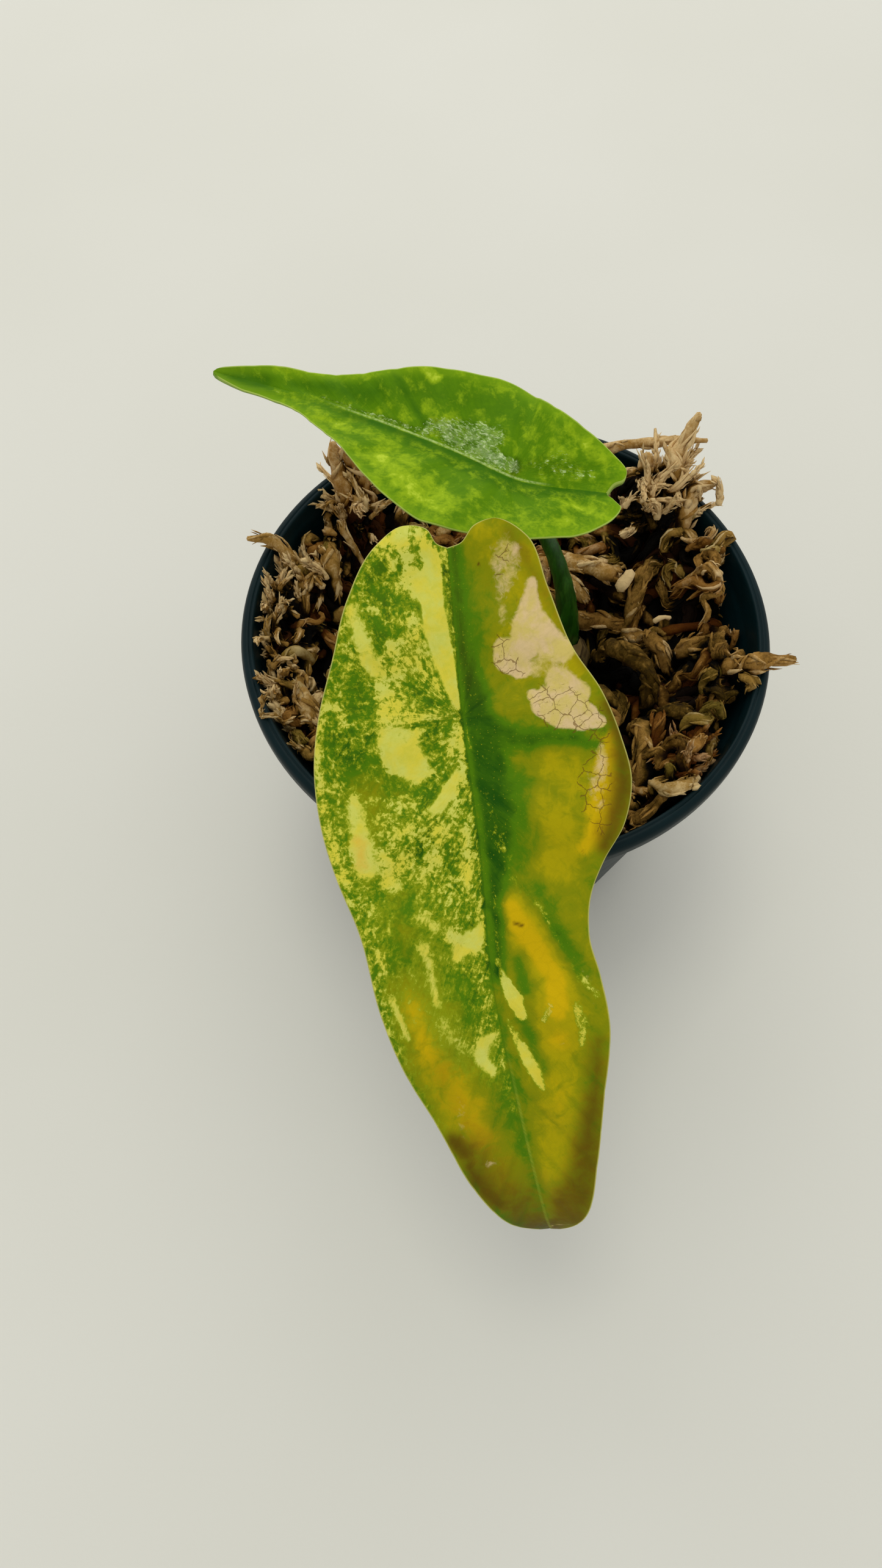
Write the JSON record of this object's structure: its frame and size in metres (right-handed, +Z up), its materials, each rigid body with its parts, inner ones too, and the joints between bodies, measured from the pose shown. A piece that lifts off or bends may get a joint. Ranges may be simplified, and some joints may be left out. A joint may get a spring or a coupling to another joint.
{
  "type": "potted simpo alocasia",
  "caption": "Young potted aroid: a large variegated arrow-shaped leaf and a small green leaf rise on stalks from dried long-fibre moss in a round tapered nursery pot.",
  "frame": {"origin": "centre of the pot's flat base, on the surface it stands on", "axes": "+Z up out of the pot, -Y towards the viewer, where the large leaf hangs over the rim, +X to the viewer's right"},
  "size_m": [0.1049, 0.1553, 0.1223],
  "materials": {
    "pot_plastic": "satin",
    "moss": "rough dried fibre",
    "rhizome": "matt",
    "stalk_large": "smooth plant tissue",
    "stalk_young": "smooth plant tissue",
    "leaf_variegated": "waxy leaf, cream and green",
    "leaf_green": "waxy leaf, glossy"
  },
  "bodies": {
    "root": {"pot": "pot_plastic", "sphagnum_moss": "moss", "rhizome_and_roots": "rhizome", "petiole_large": "stalk_large", "petiole_young": "stalk_young", "blade_large": "leaf_variegated", "blade_young": "leaf_green"}
  },
  "joints": []
}
